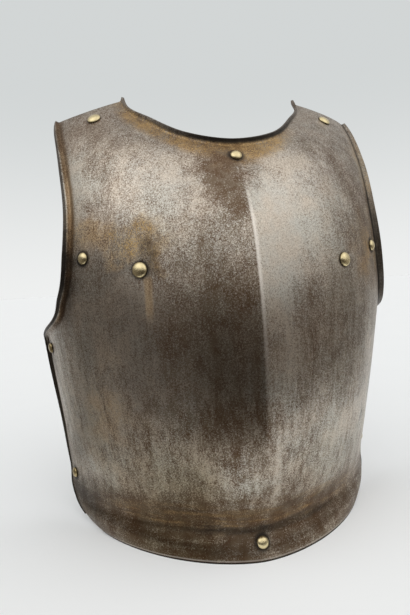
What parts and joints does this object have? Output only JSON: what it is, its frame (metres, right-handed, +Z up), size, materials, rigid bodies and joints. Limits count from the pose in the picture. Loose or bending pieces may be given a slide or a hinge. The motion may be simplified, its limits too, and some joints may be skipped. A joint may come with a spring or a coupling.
{
  "type": "cuirass breastplate",
  "caption": "Hammered steel breastplate of a heavy cavalry cuirass, standing on its rim, with turned neck, armhole and side edges, a soft medial ridge and domed brass rivets.",
  "frame": {"origin": "middle of the bounding box on the surface that the bottom rim stands on", "axes": "+Z up, the front of the plate faces -Y, the plate is symmetric left to right along X"},
  "size_m": [0.37, 0.1743, 0.4271],
  "materials": {
    "steel": "worn and pitted bare steel with brown patina, pale rubbed patches and rust by the neck, rivets and waist",
    "brass": "aged polished brass with dark tarnish round the foot of each dome"
  },
  "bodies": {
    "root": {"plate": "steel", "rivet_neck": "brass", "rivet_skirt": "brass", "rivet_shoulder_left": "brass", "rivet_shoulder_right": "brass", "rivet_chest_inner_left": "brass", "rivet_chest_inner_right": "brass", "rivet_chest_outer_left": "brass", "rivet_chest_outer_right": "brass", "rivet_side_upper_left": "brass", "rivet_side_upper_right": "brass", "rivet_side_lower_left": "brass", "rivet_side_lower_right": "brass"}
  },
  "joints": []
}
